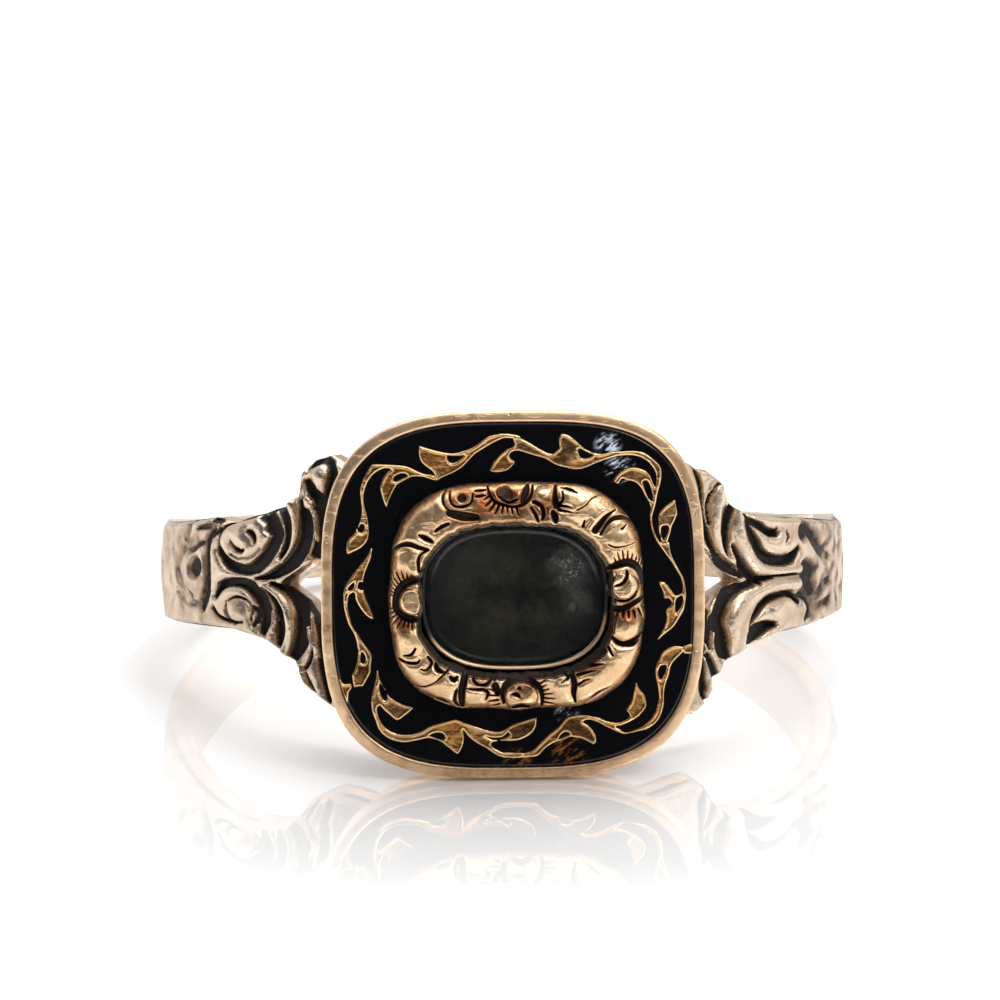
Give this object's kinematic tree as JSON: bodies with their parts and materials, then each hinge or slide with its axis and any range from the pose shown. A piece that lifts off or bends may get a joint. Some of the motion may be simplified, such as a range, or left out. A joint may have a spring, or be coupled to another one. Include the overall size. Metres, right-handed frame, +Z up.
{
  "type": "mourning ring",
  "caption": "Finger ring with pierced chased shoulders and a cushion head: scrolled black enamel border, chased frame and a glazed hair window.",
  "frame": {"origin": "on the surface that the ring lies on, under the middle of its bounding box", "axes": "+Z up; -Y the way the head looks; +X to the head's right as seen from the front. The finger hole's axis leans about 11.4 degrees from +Z towards +Y."},
  "size_m": [0.0198, 0.0219, 0.01],
  "materials": {
    "gold": "worn satin yellow gold, cast and chased, brown in the recesses",
    "enamel": "glossy black enamel, lightly scratched",
    "hair": "matted dark hair under the glass",
    "glass": "low domed glass, hazy and worn"
  },
  "bodies": {
    "root": {"ring_body": "gold", "enamel_border": "enamel", "chased_frame": "gold", "collet": "gold", "hair_panel": "hair", "glass": "glass"}
  },
  "joints": []
}
